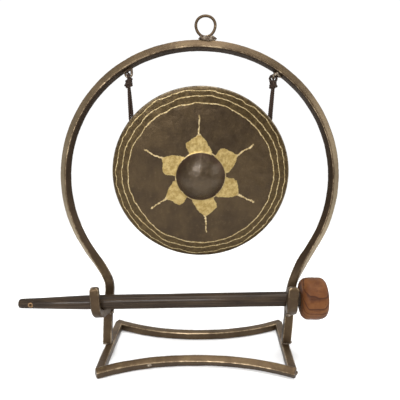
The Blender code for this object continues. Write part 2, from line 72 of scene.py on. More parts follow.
CAMERA_PLACE = (0.3, -424.0, 230.0)
CAMERA_DOWN_DEG = 11.78
camera = bpy.data.objects.new("camera", bpy.data.cameras.new("camera"))
bpy.context.scene.collection.objects.link(camera)
camera.location = at(*CAMERA_PLACE)
camera.rotation_euler = (math.radians(90.0 - CAMERA_DOWN_DEG), 0.0, 0.0)
camera.data.lens = 44.9
camera.data.sensor_width = 36.0
camera.data.clip_start = 0.01
bpy.context.scene.camera = camera

# ---------------------------------------------------------------- cords
# Each cord is one length of three-ply waxed cord. It is doubled over its eye, knotted
# under it, and both ends go through one hole in the gong's rim to a stopper knot inside.

CORD = 2.15
CORD_LAY = 5.5  # one full turn of the plies
STRAND_OUT = 1.07  # each strand's distance from the middle of its pair
EYE_WIRE = 2.3
LOOP_R = (EYE_WIRE + CORD) / 2 + 0.45  # a loop lies on its eye with a little room
HINGE_Z = 208.0
HOLE_X = 58.0
GONG_X = 0.8
HOLE_RISE = 43.68  # how far the holes are above the gong's middle, along its face
CORD_SIDES = {
    "left": {"eye_x": -58.6, "wire_z": 245.2, "loop_turn_deg": 90.0, "knot_z": 240.4,
             "pair_turn_deg": (0.0, 85.0)},
    "right": {"eye_x": 60.8, "wire_z": 243.9, "loop_turn_deg": 0.0, "knot_z": 239.6,
              "pair_turn_deg": (20.0, 50.0)},
}


def smooth_route(knots, spacing):
    """A Catmull-Rom curve through the knots, with points an even spacing apart. Knots may
    carry more values after x, y, z, which are carried along the curve."""
    knots = np.array(knots, float)
    ends = np.vstack([2 * knots[0] - knots[1], knots, 2 * knots[-1] - knots[-2]])
    t = np.linspace(0.0, 1.0, 24, endpoint=False)[:, None]
    spans = []
    for before, first, second, after in zip(ends, ends[1:], ends[2:], ends[3:]):
        spans.append(0.5 * (2 * first + (second - before) * t
                            + (2 * before - 5 * first + 4 * second - after) * t ** 2
                            + (3 * first - before - 3 * second + after) * t ** 3))
    curve = np.vstack([*spans, knots[-1:]])
    run = np.concatenate([[0.0], np.cumsum(np.linalg.norm(np.diff(curve[:, :3], axis=0), axis=1))])
    marks = np.linspace(0.0, run[-1], max(int(round(run[-1] / spacing)), 4) + 1)
    return np.stack([np.interp(marks, run, column) for column in curve.T], axis=1)


def frames_along(route, guide=None):
    """For each point of a route, the two directions across it. With a guide, the second
    one looks towards it; without, they are carried along without twisting."""
    ahead = np.gradient(route, axis=0)
    ahead /= np.linalg.norm(ahead, axis=1)[:, None]
    if guide is not None:
        across = np.cross(guide, ahead)
        across /= np.linalg.norm(across, axis=1)[:, None]
        return across, np.cross(ahead, across)
    start = np.cross(ahead[0], (0.31, 0.52, 0.79))
    carried = [start / np.linalg.norm(start)]
    for direction in ahead[1:]:
        turned = carried[-1] - direction * np.dot(carried[-1], direction)
        carried.append(turned / np.linalg.norm(turned))
    across = np.array(carried)
    return across, np.cross(ahead, across)


def link_mesh(name, points, faces, attributes=None):
    """Make a smooth mesh object from points in metres, with float attributes by point."""
    mesh = bpy.data.meshes.new(name)
    mesh.from_pydata([tuple(point) for point in points], [], faces)
    for key, values in (attributes or {}).items():
        layer = mesh.attributes.new(key, "FLOAT", "POINT")
        layer.data.foreach_set("value", np.asarray(values, float))
    shape = bmesh.new()
    shape.from_mesh(mesh)
    bmesh.ops.recalc_face_normals(shape, faces=shape.faces)
    shape.to_mesh(mesh)
    shape.free()
    mesh.shade_smooth()
    # open_sky: how far each point faces up; the iron's finish uses it to paint shade on faces that
    # look down
    open_sky = mesh.attributes.new("open_sky", "FLOAT", "POINT")
    open_sky.data.foreach_set("value", [0.5 + 0.5 * vertex.normal.z for vertex in mesh.vertices])
    made = bpy.data.objects.new(name, mesh)
    bpy.context.scene.collection.objects.link(made)
    return made


def faces_between(rings, around, closed=False):
    """The four-sided faces between neighbouring rings of points, each ring closed."""
    faces = []
    for i in range(rings if closed else rings - 1):
        this, following = i * around, (i + 1) % rings * around
        for a in range(around):
            b = (a + 1) % around
            faces.append((this + a, this + b, following + b, following + a))
    return faces


def skin(name, route, outlines, guide=None, attributes=None, closed=False):
    """Lay a skin over a route in millimetres. outlines[i] holds the (across, up) offsets
    of the outline's points at station i; open ends close with a fan."""
    across, up = frames_along(route, guide)
    rings = (route[:, None, :] + outlines[:, :, :1] * across[:, None, :]
             + outlines[:, :, 1:] * up[:, None, :])
    stations, around = outlines.shape[:2]
    points = [at(*point) for point in rings.reshape(-1, 3)]
    faces = faces_between(stations, around, closed)
    if not closed:
        for ring in (0, stations - 1):
            middle = len(points)
            points.append(at(*route[ring]))
            faces += [(ring * around + a, ring * around + (a + 1) % around, middle)
                      for a in range(around)]
    full = {key: list(values.reshape(-1)) + [0.0] * (len(points) - values.size)
            for key, values in (attributes or {}).items()}
    return link_mesh(name, points, faces, full)


def end_scale(route, reach, low):
    """How much each station's outline keeps of its size, where the ends are worn round
    over a reach in millimetres, down to the share low."""
    run = np.concatenate([[0.0], np.cumsum(np.linalg.norm(np.diff(route, axis=0), axis=1))])
    near = np.minimum(np.minimum(run, run[-1] - run) / reach, 1.0)
    return low + (1 - low) * np.sqrt(1 - (1 - near) ** 2)


def with_close_ends(route, reach):
    """The same route with extra points close to its two ends, for rounding them."""
    shares = np.array([0.0, 0.04, 0.14, 0.3, 0.55])[:, None] * reach
    first = route[1] - route[0]
    last = route[-2] - route[-1]
    head = route[0] + shares * first / np.linalg.norm(first[:3])
    tail = route[-1] + shares[::-1] * last / np.linalg.norm(last[:3])
    keep_from = np.linalg.norm(route[:, :3] - route[0, :3], axis=1) > reach * 0.8
    keep_to = np.linalg.norm(route[:, :3] - route[-1, :3], axis=1) > reach * 0.8
    return np.vstack([head, route[keep_from & keep_to], tail])


def plied_cord(name, knots):
    """A three-ply cord along knots in millimetres, with its plies as real relief."""
    route = with_close_ends(smooth_route(knots, 0.4), 0.5)
    run = np.concatenate([[0.0], np.cumsum(np.linalg.norm(np.diff(route, axis=0), axis=1))])
    angle = np.linspace(0.0, 2 * math.pi, 18, endpoint=False)[None, :]
    ply = np.abs(np.cos(1.5 * (angle - 2 * math.pi * run[:, None] / CORD_LAY)))
    fray = np.array([[noise.noise(Vector((s * 1.3, a * 2.0, len(knots)))) for a in angle[0]]
                     for s in run])
    radius = CORD / 2 * (0.84 + 0.20 * ply + 0.06 * fray) * end_scale(route, 0.5, 0.3)[:, None]
    outlines = np.stack([radius * np.cos(angle), radius * np.sin(angle)], axis=2)
    return skin(name, route, outlines, attributes={"ply": ply + 0.3 * fray}), route


def knot_turns(centre, turns, radius, height, turn_deg, lean, tag):
    """A cord's route that wraps the doubled cord and crosses its own turns once. The end
    is tucked down at the side that tag gives, 1 for the right or -1 for the left."""
    x, y, z = centre
    points = []
    steps = turns * 8
    for step in range(int(steps) + 1):
        angle = math.radians(turn_deg + 45.0 * step)
        share = step / steps
        out = radius * (1.0 + 0.10 * math.sin(7.0 * share))
        points.append((x + out * math.cos(angle), y + out * math.sin(angle),
                       z - height / 2 + height * share + lean * math.cos(angle)))
    angle += 0.9
    front = radius + 0.7
    points.append((x + 0.8 * front * math.cos(angle), y + 0.8 * front * math.sin(angle),
                   z + height * 0.34))
    points.append((x + 0.5, y - front, z + 0.2))
    points.append((x + 1.9 * tag, y - front * 0.9, z - height * 0.26))
    points.append((x + 3.0 * tag, y - front * 0.5, z - height * 0.34))
    return points


cord_pieces = []
for side, plan in CORD_SIDES.items():
    eye_x = plan["eye_x"]
    sign = 1.0 if eye_x > 0 else -1.0
    hole_x = GONG_X + sign * HOLE_X
    out = Vector((sign * HOLE_X, 0.0, HOLE_RISE)).normalized()
    loop_turn = math.radians(plan["loop_turn_deg"])
    knot_z = plan["knot_z"]
    rise = knot_z - 2.0 - HINGE_Z
    low_turn, high_turn = plan["pair_turn_deg"]
    ends = []
    for strand in (-1.0, 1.0):
        end = [(hole_x - 5.0 * out.x + 0.9 * strand * out.z, 0.0, HINGE_Z - 5.0 * out.z),
               (hole_x - 1.5 * out.x + 0.95 * strand * out.z, 0.1 * strand,
                HINGE_Z - 1.5 * out.z)]
        for share in (0.07, 0.25, 0.5, 0.75, 1.0):
            pair_turn = math.radians(low_turn + (high_turn - low_turn) * share)
            aside = STRAND_OUT * strand
            end.append((hole_x + (eye_x - hole_x) * share + aside * math.cos(pair_turn),
                        aside * math.sin(pair_turn), HINGE_Z + rise * share))
        ends.append(end)
    over = []
    for step in range(9):
        angle = math.radians(-42.0 + 264.0 * step / 8)
        reach = LOOP_R * math.cos(angle)
        over.append((eye_x - reach * math.cos(loop_turn), -reach * math.sin(loop_turn),
                     plan["wire_z"] + LOOP_R * math.sin(angle)))
    knots = ends[0] + over + ends[1][::-1]
    cord, route = plied_cord(f"gong_cord_{side}", knots)
    turns = knot_turns((eye_x, 0.0, knot_z), turns=3.6, radius=2.1, height=5.8,
                       turn_deg=200.0 if side == "left" else 20.0, lean=0.5, tag=sign)
    wrap, _ = plied_cord(f"cord_knot_wraps_{side}", turns)
    stopper_place = Vector((hole_x, 0.0, HINGE_Z)) - 5.6 * out
    turns = knot_turns(stopper_place, turns=1.9, radius=1.75, height=2.8, turn_deg=60.0,
                       lean=0.3, tag=-sign)
    stopper, _ = plied_cord(f"stopper_knot_wraps_{side}", turns)
    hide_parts(f"cord_{side}_inner_strand", f"cord_{side}_outer_strand",
                f"cord_loop_{side}", f"cord_end_{side}")
    at(hole_x, 0.0, HINGE_Z + 6.0)
    at(hole_x, 0.0, HINGE_Z - 0.5)
    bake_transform(cord)
    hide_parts(f"cord_knot_{side}")
    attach(wrap, "cords")
    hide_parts(f"stopper_knot_{side}")
    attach(stopper, "gong")
    path = [at(*point) for point in route]
    cord_pieces += [cord, wrap, stopper]


class Field:
    """A number that varies over a surface. Arithmetic on it adds Math nodes."""

    def __init__(self, surface, socket):
        self.surface = surface
        self.socket = socket

    def math(self, operation, *others):
        values = dict(enumerate([self, *others]))
        return self.surface.node("ShaderNodeMath", {"operation": operation}, values)

    def __add__(self, other):
        return self.math("ADD", other)

    def __sub__(self, other):
        return self.math("SUBTRACT", other)

    def __rsub__(self, other):
        return self.surface.node("ShaderNodeMath", {"operation": "SUBTRACT"}, {0: other, 1: self})

    def __mul__(self, other):
        return self.math("MULTIPLY", other)

    def __truediv__(self, other):
        return self.math("DIVIDE", other)

    def __pow__(self, other):
        return self.math("POWER", other)

    __radd__ = __add__
    __rmul__ = __mul__

    def step(self, low, high):
        """0 below low and 1 above high, smooth between; high may be the lower one."""
        return self.surface.node("ShaderNodeMapRange", {"interpolation_type": "SMOOTHSTEP"},
                                 {0: self, 1: low, 2: high})


class Finish:
    """A material in the making: its Principled shader, and the nodes that feed it."""

    def __init__(self, name):
        self.material = bpy.data.materials.new(name)
        self.material.use_nodes = True
        self.tree = self.material.node_tree
        self.shader = self.tree.nodes["Principled BSDF"]
        self.place = self.node("ShaderNodeTexCoord", {}, {}, "Object")

    def node(self, kind, settings, inputs, output=0):
        """Add a node: its settings first, then the values or links of its sockets."""
        made = self.tree.nodes.new(kind)
        for key, value in settings.items():
            if key == "stops":
                while len(made.color_ramp.elements) < len(value):
                    made.color_ramp.elements.new(1.0)
                for stop, (position, colour) in zip(made.color_ramp.elements, value):
                    stop.position = position
                    stop.color = colour
            elif key == "ramp_interpolation":
                made.color_ramp.interpolation = value
            else:
                setattr(made, key, value)
        for key, value in inputs.items():
            if isinstance(value, Field):
                self.tree.links.new(value.socket, made.inputs[key])
            else:
                made.inputs[key].default_value = value
        return Field(self, made.outputs[output])

    def noise(self, size, detail=3.0, rough=0.55, stretch=None, distortion=0.0):
        """Cloudy noise whose features are about size millimetres across."""
        vector = self.place
        if stretch is not None:
            vector = self.node("ShaderNodeMapping", {}, {"Vector": self.place, "Scale": stretch})
        inputs = {"Vector": vector, "Scale": 1.0 / (size * MM), "Detail": detail,
                  "Roughness": rough, "Distortion": distortion}
        return self.node("ShaderNodeTexNoise", {}, inputs)

    def colour(self, share, first, second):
        """Mix two colours, each a triple or the result of another mix."""
        inputs = {0: share}
        for key, value in ((6, first), (7, second)):
            inputs[key] = value if isinstance(value, Field) else (*value, 1.0)
        return self.node("ShaderNodeMix", {"data_type": "RGBA"}, inputs, 2)

    def offset(self, centre):
        """The vector from a point in metres to the place on the surface."""
        return self.node("ShaderNodeVectorMath", {"operation": "SUBTRACT"},
                         {0: self.place, 1: centre})

    def along(self, vector, direction):
        """How far a vector reaches along a direction."""
        return self.node("ShaderNodeVectorMath", {"operation": "DOT_PRODUCT"},
                         {0: vector, 1: direction}, "Value")

    def distance(self, centre, scale):
        """The distance from a point in metres, with each axis stretched by its scale."""
        stretched = self.node("ShaderNodeVectorMath", {"operation": "MULTIPLY"},
                              {0: self.offset(centre), 1: scale})
        return self.node("ShaderNodeVectorMath", {"operation": "LENGTH"}, {0: stretched}, "Value")

    def attribute(self, name):
        """A value stored on the mesh's points."""
        return self.node("ShaderNodeAttribute", {"attribute_name": name}, {}, "Fac")

    def set(self, **inputs):
        """Feed the shader: Base_Color=..., Roughness=..., by socket name."""
        for key, value in inputs.items():
            socket = self.shader.inputs[key.replace("_", " ")]
            if isinstance(value, Field):
                self.tree.links.new(value.socket, socket)
            elif isinstance(value, tuple):
                socket.default_value = (*value, 1.0)
            else:
                socket.default_value = value

    def bump(self, height, depth):
        """Relief of a depth in millimetres where height runs from 0 to 1."""
        inputs = {"Height": height, "Distance": depth * MM, "Strength": 1.0}
        self.set(Normal=self.node("ShaderNodeBump", {}, inputs, "Normal"))


def waxed_cord():
    """Dark brown waxed cord: matt, with painted shade that darkens the grooves between its plies."""
    finish = Finish("waxed_cord")
    ply = finish.attribute("ply")
    fibre = finish.noise(0.35, 4.0, 0.7)
    wear = finish.noise(3.0, 3.0)
    # painted shade: each ply is coloured near black in its grooves and brown on its crown
    tone = finish.colour(ply.step(0.1, 1.0), (0.008, 0.005, 0.004), (0.036, 0.022, 0.015))
    tone = finish.colour((wear * fibre).step(0.30, 0.55) * 0.5, tone, (0.080, 0.051, 0.033))
    finish.set(Base_Color=tone, Roughness=0.62 + 0.25 * fibre, Specular_IOR_Level=0.12)
    finish.bump(fibre, 0.12)
    return finish.material


cord_finish = waxed_cord()
for piece in cord_pieces:
    piece.data.materials.append(cord_finish)

# ---------------------------------------------------------------- arch
# One length of 8 mm square bar, hammered and cold bent: two straight legs, an S-bend at
# each side and a round crown. The bar turns on edge where it is bent round, so that the
# crown shows a ridge in front. Brown lacquer over the iron has rubbed through on its edges.

LEG_BAR = 8.2
RING_BAR = 7.4
BAR_CORNER = 1.5
RING_R = 115.0
RING_CENTRE_Z = 157.4
RING_FLAT = 2.1
LEFT_LEG = [(-84.8, 7.6, 0.0), (-83.6, 29.0, 0.0), (-81.7, 50.0, 0.0), (-80.8, 62.0, 4.0),
            (-82.2, 70.0, 12.0), (-87.5, 80.6, 24.0)]
LEFT_TURN_DEG = 211.5
RIGHT_TURN_DEG = -31.2
RIGHT_LEG = [(92.0, 86.5, 42.0), (87.0, 75.4, 30.0), (83.3, 64.5, 12.0), (81.5, 50.0, 0.0),
             (80.9, 29.0, 0.0), (79.5, 7.6, 0.0)]
RING_ROLLS = [(211.5, 40.0), (180.0, 52.0), (135.0, 58.0), (90.0, 57.0), (45.0, 66.0),
              (0.0, 58.0), (-31.2, 50.0)]


def lacquered_iron():
    """Brown lacquer over hammered iron: cloudy, with painted shade inside the arch and
    underneath, painted light on downward outer faces, and rubbed to bare metal along the edges."""
    finish = Finish("lacquered_iron")
    cloud = finish.noise(22.0, 4.0, 0.6)
    streak = finish.noise(5.0, 4.0, 0.65, distortion=0.6)
    grit = finish.noise(0.7, 3.0, 0.7)
    edge = finish.attribute("edge")
    sky = finish.attribute("open_sky").step(0.30, 0.85)
    brown = finish.colour(cloud.step(0.32, 0.68), (0.056, 0.034, 0.016), (0.098, 0.063, 0.032))
    olive = finish.colour(streak.step(0.50, 0.72) * 0.55, brown, (0.128, 0.090, 0.041))
    dark = finish.colour(grit.step(0.56, 0.74) * 0.45, olive, (0.024, 0.014, 0.008))
    # painted shade: faces that look down are coloured darker
    under = finish.colour((1 - sky) * 0.55, dark, (0.020, 0.012, 0.007))
    # painted shade: faces turned towards the crown's middle are coloured near black
    inside = finish.attribute("inside")
    under = finish.colour(inside.step(0.15, 0.60) * 0.70, under, (0.018, 0.010, 0.005))
    # painted light: faces turned away from the crown and downwards are coloured lighter, as if lit
    # from the sides
    outer = inside.step(-0.25, -0.60) * (1 - sky)
    under = finish.colour(outer * (0.45 + 0.9 * cloud), under, (0.235, 0.185, 0.115))
    rubbed = (edge + 0.75 * (streak - 0.5) + 0.6 * (cloud - 0.5)
              + 0.35 * (grit - 0.5) + 0.14 * sky).step(0.84, 1.20)
    tone = finish.colour(rubbed * 0.80, under, (0.38, 0.29, 0.185))
    finish.set(Base_Color=tone, Metallic=0.60 + 0.30 * rubbed, Specular_IOR_Level=0.25,
               Roughness=0.44 + 0.16 * (cloud - 0.5) + 0.12 * (grit - 0.5) - 0.08 * rubbed)
    finish.bump(0.65 * streak + 0.35 * grit, 0.22)
    return finish.material


iron = lacquered_iron()


def bar_outline(side, corner, corner_steps=5, flat_steps=3):
    """A square with rounded corners: (across, up) points, and how near each is to an edge."""
    flat = side / 2 - corner
    points = []
    edges = []
    for quarter in range(4):
        turn = math.radians(90.0 * quarter)
        local = []
        for step in range(corner_steps):
            angle = math.radians(90.0 * step / (corner_steps - 1))
            local.append((flat + corner * math.cos(angle), flat + corner * math.sin(angle)))
            edges.append(1.0 - 0.45 * abs(2 * step / (corner_steps - 1) - 1))
        for step in range(1, flat_steps + 1):
            share = step / (flat_steps + 1)
            local.append((flat - 2 * flat * share, side / 2))
            edges.append(0.30 * abs(2 * share - 1) ** 2)
        points += [(u * math.cos(turn) - v * math.sin(turn),
                    u * math.sin(turn) + v * math.cos(turn)) for u, v in local]
    return np.array(points), np.array(edges)


def forged_bar(name, node, knots, guide, seed, spacing=1.3, dent=0.20, ends=(1.3, 0.72)):
    """A hammered square bar of the stand, in place of its node, along knots of (x, y, z,
    side, roll in degrees, widening)."""
    reach, low = ends
    route = with_close_ends(smooth_route(knots, spacing), reach)
    outline, edges = bar_outline(1.0, BAR_CORNER / LEG_BAR)
    roll = np.radians(route[:, 4])[:, None]
    keep = end_scale(route[:, :3], reach, low)[:, None]
    flat_u = outline[:, 0] / route[:, 5:6]
    flat_v = outline[:, 1] * route[:, 5:6]
    turned_u = flat_u * np.cos(roll) - flat_v * np.sin(roll)
    turned_v = flat_u * np.sin(roll) + flat_v * np.cos(roll)
    run = np.concatenate([[0.0], np.cumsum(np.linalg.norm(np.diff(route[:, :3], axis=0), axis=1))])
    blows = np.empty((len(route), len(outline)))
    for i, s in enumerate(run):
        for a, (u, v) in enumerate(outline):
            broad = noise.noise(Vector((s * 0.075, 2.0 * u + seed, 2.0 * v)))
            close = noise.noise(Vector((s * 0.45, 9.0 * u + seed, 9.0 * v)))
            nick = max(noise.noise(Vector((s * 0.6, 31.0 * u, seed))), 0.0) * 0.35 * edges[a]
            blows[i, a] = dent * (0.8 * broad + 0.35 * close) - dent * 0.5 - nick
    size = route[:, 3][:, None] * keep
    length = np.hypot(outline[:, 0], outline[:, 1])[None, :]
    grow = size + blows / length * keep
    outlines = np.stack([turned_u * grow, turned_v * grow], axis=2)
    wear = np.tile(edges, (len(route), 1)) + np.clip(1.0 - keep, 0.0, 1.0)
    made = skin(name, route[:, :3], outlines, guide, {"edge": np.clip(wear, 0.0, 1.0)})
    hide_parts(node)
    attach(made, "stand")
    made.data.materials.append(iron)
    return made


def ring_point(angle_deg):
    """The crown's centreline, slightly flattened at the top."""
    angle = math.radians(angle_deg)
    radius = RING_R - RING_FLAT * max(math.sin(angle), 0.0) ** 6
    return radius * math.cos(angle), RING_CENTRE_Z + radius * math.sin(angle)


arch_knots = [(x, 0.0, z, LEG_BAR, roll, 1.0) for x, z, roll in LEFT_LEG]
turn_marks, turn_rolls = zip(*RING_ROLLS[::-1])
for angle in np.linspace(LEFT_TURN_DEG, RIGHT_TURN_DEG, 28):
    x, z = ring_point(angle)
    arch_knots.append((x, 0.0, z, RING_BAR, np.interp(angle, turn_marks, turn_rolls), 1.0))
arch_knots += [(x, 0.0, z, LEG_BAR, roll, 1.0) for x, z, roll in RIGHT_LEG]
TO_PLAYER = np.array((0.0, -1.0, 0.0))
arch = forged_bar("forged_arch", "arch_bar", arch_knots, TO_PLAYER, seed=1.7)
# inside: how far each point of the arch faces the crown's middle, used for the painted shade on its
# inner faces
crown_middle = at(0.0, 0.0, RING_CENTRE_Z)
inside = arch.data.attributes.new("inside", "FLOAT", "POINT")
inside.data.foreach_set("value", [vertex.normal.dot((crown_middle - vertex.co).normalized())
                                  for vertex in arch.data.vertices])


# ---------------------------------------------------------------- base
# Four pieces of the same bar, laid on the table: a front and a back rail, bowed towards
# each other, and a straight side bar under each leg. All corners are welded and filed.

BASE_BAR = 7.5
RAILS = {
    "front": {"middle": (-3.15, -27.3), "half": 83.0, "bow": 20.8, "power": 2.25,
              "rolls": (17.0, 27.0, 35.0)},
    "back": {"middle": (-0.9, 21.7), "half": 82.8, "bow": 24.0, "power": 2.2,
             "rolls": (4.0, 6.0, 3.0)},
}
SIDE_BARS = {"left": (-83.9, -81.3), "right": (77.6, 79.5)}
TO_SKY = np.array((0.0, 0.0, 1.0))


def rail_point(rail, x):
    """Where a rail's centreline is at a place along X, in plan."""
    middle_x, middle_y = rail["middle"]
    bow = rail["bow"] * abs((x - middle_x) / rail["half"]) ** rail["power"]
    return x, middle_y + math.copysign(bow, middle_y)


def rest_height(side, roll_deg):
    """How high a rolled bar's centre lies when its lowest edge is on the table."""
    flat = side / 2 - BAR_CORNER
    roll = math.radians(abs(roll_deg))
    return flat * (math.cos(roll) + math.sin(roll)) + BAR_CORNER


def base_bar(name, node, plan, rolls, seed):
    """A base bar along (x, y) points, lying on the table, rolled by a little."""
    marks = np.linspace(0.0, 1.0, len(plan))
    turned = np.interp(marks, (0.0, 0.5, 1.0), rolls)
    knots = [(x, y, rest_height(BASE_BAR, roll) + 0.15, BASE_BAR, roll, 1.0)
             for (x, y), roll in zip(plan, turned)]
    forged_bar(name, node, knots, TO_SKY, seed, dent=0.22, ends=(1.6, 0.66))


for end, rail in RAILS.items():
    plan = [rail_point(rail, rail["middle"][0] + rail["half"] * (2 * step / 12 - 1))
            for step in range(13)]
    base_bar(f"forged_{end}_rail", f"base_{end}_rail", plan, rail["rolls"],
             seed=3.1 if end == "front" else 5.3)
for side, (front_x, back_x) in SIDE_BARS.items():
    front_y = rail_point(RAILS["front"], front_x)[1] + 1.5
    back_y = rail_point(RAILS["back"], back_x)[1] - 1.5
    plan = [(front_x + (back_x - front_x) * step / 6, front_y + (back_y - front_y) * step / 6)
            for step in range(7)]
    base_bar(f"forged_{side}_side_bar", f"base_{side}_side_bar", plan, (0.0, 0.0, 0.0),
             seed=7.9 if side == "left" else 9.2)

# ---------------------------------------------------------------- mallet hooks
# A short piece of bar at the front of each leg, heated and bent up into a J that the
# mallet's handle lies in. The left one leans outwards; the right one is turned on edge.

HOOK_BAR = 7.6
HOOK_BEND_R = 11.2
HOOK_ROOT_Y = -2.5
TO_RIGHT = np.array((1.0, 0.0, 0.0))
HOOKS = {
    "left": {"root": (-81.8, 44.7), "lean": -6.4, "upright_y": -28.2, "top_z": 72.2,
             "roll": 3.0, "tip_lean": -0.6, "wider": 1.06},
    "right": {"root": (81.4, 47.5), "lean": -3.3, "upright_y": -29.2, "top_z": 72.8,
              "roll": 8.0, "tip_lean": 0.6, "wider": 1.27},
}
for side, hook in HOOKS.items():
    root_x, floor_z = hook["root"]
    reach = HOOK_ROOT_Y - hook["upright_y"]
    bend_y = hook["upright_y"] + HOOK_BEND_R
    plan = [(HOOK_ROOT_Y, floor_z), (-9.0, floor_z)]
    for step in range(6):
        angle = math.radians(18.0 * step)
        plan.append((bend_y - HOOK_BEND_R * math.sin(angle),
                     floor_z + HOOK_BEND_R * (1 - math.cos(angle))))
    plan += [(hook["upright_y"], z) for z in (hook["top_z"] - 6.0, hook["top_z"])]
    knots = []
    for y, z in plan:
        share = (HOOK_ROOT_Y - y) / reach
        rise = max(z - floor_z - HOOK_BEND_R, 0.0) / (hook["top_z"] - floor_z - HOOK_BEND_R)
        bent = min(max(1.6 * share - 0.6, 0.0), 1.0)
        knots.append((root_x + hook["lean"] * share + hook["tip_lean"] * rise, y, z, HOOK_BAR,
                      hook["roll"] * bent, 1.0 + (hook["wider"] - 1.0) * bent))
    forged_bar(f"forged_hook_{side}", f"mallet_hook_{side}", knots, TO_RIGHT,
               seed=11.0 + root_x, spacing=0.9, dent=0.26, ends=(2.6, 0.42))

# ---------------------------------------------------------------- hanging ring and eyes
# A ring of thick wire is welded on the crown to carry the stand by, and a U of wire is
# welded under the crown at each side as the cord's eye. The wire is bent by hand.

RING_EYE_X = 4.8
RING_EYE_Z = 285.3
RING_EYE_R = 8.05
RING_WIRE = 2.45
WIRE_SIDES = 16


def wire(name, knots, diameter, closed=False, guide=None, rough=0.05):
    """A round wire along knots in millimetres, a little uneven along its length."""
    if closed:
        route = np.array(knots, float)
        keep = np.ones(len(route))
    else:
        route = with_close_ends(smooth_route(knots, 0.5), 0.6)
        keep = end_scale(route, 0.6, 0.3)
    angle = np.linspace(0.0, 2 * math.pi, WIRE_SIDES, endpoint=False)
    bite = np.repeat([[noise.noise(place * 0.5)] for place in route], WIRE_SIDES, axis=1)
    radius = diameter / 2 * (1.0 - rough + rough * bite) * keep[:, None]
    outlines = np.stack([radius * np.cos(angle), radius * np.sin(angle)], axis=2)
    return skin(name, route, outlines, guide, {"edge": np.clip(0.25 + bite, 0.0, 1.0)}, closed)


ring_route = []
for step in range(96):
    angle = 2 * math.pi * step / 96
    pear = 1.0 + 0.025 * math.cos(2 * angle) - 0.02 * math.cos(3 * angle)
    ring_route.append((RING_EYE_X + RING_EYE_R * pear * math.sin(angle), 0.0,
                       RING_EYE_Z + RING_EYE_R * 0.98 * pear * math.cos(angle)))
hanging_ring = wire("wire_hanging_ring", ring_route, RING_WIRE, closed=True,
                    guide=TO_PLAYER)
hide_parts("hanging_ring")
hanging_ring.data.materials.append(iron)
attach(hanging_ring, "stand")

EYE_HALF = 2.6
EYE_ROOTS = {"left": [(-56.2, 0.0, 255.0), (-63.0, 0.0, 251.6)],
             "right": [(64.2, 3.6, 249.0), (64.2, -3.6, 249.0)]}
eyes = []
for side, plan in CORD_SIDES.items():
    turn = math.radians(90.0 - plan["loop_turn_deg"])
    low_z = plan["wire_z"]
    first_root, last_root = EYE_ROOTS[side]
    knots = [first_root]
    for step in range(9):
        angle = math.pi * step / 8
        out = EYE_HALF * math.cos(angle)
        knots.append((plan["eye_x"] + out * math.cos(turn), out * math.sin(turn),
                      low_z + EYE_HALF * (1 - math.sin(angle))))
    knots.append(last_root)
    eye = wire(f"wire_eye_{side}", knots, EYE_WIRE, rough=0.07)
    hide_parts(f"cord_eye_{side}")
    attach(eye, "stand")
    eyes.append(eye)

# ---------------------------------------------------------------- welds
# Beads of arc weld at every joint of the stand. They were brushed and lacquered with the
# iron but stay brighter and lumpier: small overlapping ripples with pits between them.

EYE_WELD_R = 110.3  # the inner side of the crown
LEG_FEET = {"left": (-84.6, 8.2), "right": (79.8, 8.2)}


def weld_bead(name, centre, radii, seed, node=None, slope=0.0):
    """A lumpy bead over a joint: an ellipsoid in millimetres, sunk into the bars."""
    shape = bmesh.new()
    bmesh.ops.create_icosphere(shape, subdivisions=5, radius=1.0)
    shape.verts.index_update()
    turn = Matrix.Rotation(slope, 3, "Y")
    points = []
    for vertex in shape.verts:
        spot = vertex.co
        ripple = math.sin(9.0 * spot.x + 2.0 * noise.noise(spot * 2.0 + Vector((seed, 0, 0))))
        lump = noise.noise(spot * 1.6 + Vector((0, seed, 0)))
        pit = noise.noise(spot * 5.0 + Vector((0, 0, seed)))
        grow = 1.0 + 0.16 * lump + 0.035 * ripple + 0.05 * pit
        local = Vector((spot.x * radii[0], spot.y * radii[1], spot.z * radii[2])) * grow
        points.append(at(*(Vector(centre) + turn @ local)))
    made = link_mesh(name, points, [[vertex.index for vertex in face.verts] for face in shape.faces])
    shape.free()
    if node:
        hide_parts(node)
    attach(made, "stand")
    return made


def weld_metal():
    """Weld metal under thin lacquer: silvery on its crests, dark brown in its pits."""
    finish = Finish("weld_metal")
    pits = finish.noise(0.9, 4.0, 0.65)
    patch = finish.noise(3.2, 3.0)
    dull = finish.colour(patch.step(0.35, 0.65), (0.046, 0.029, 0.017), (0.105, 0.077, 0.050))
    bright = (pits + 0.8 * (patch - 0.5)).step(0.48, 0.66)
    finish.set(Base_Color=finish.colour(bright * 0.6, dull, (0.34, 0.29, 0.23)), Metallic=0.8,
               Roughness=0.50 - 0.14 * bright)
    finish.bump(pits, 0.30)
    return finish.material


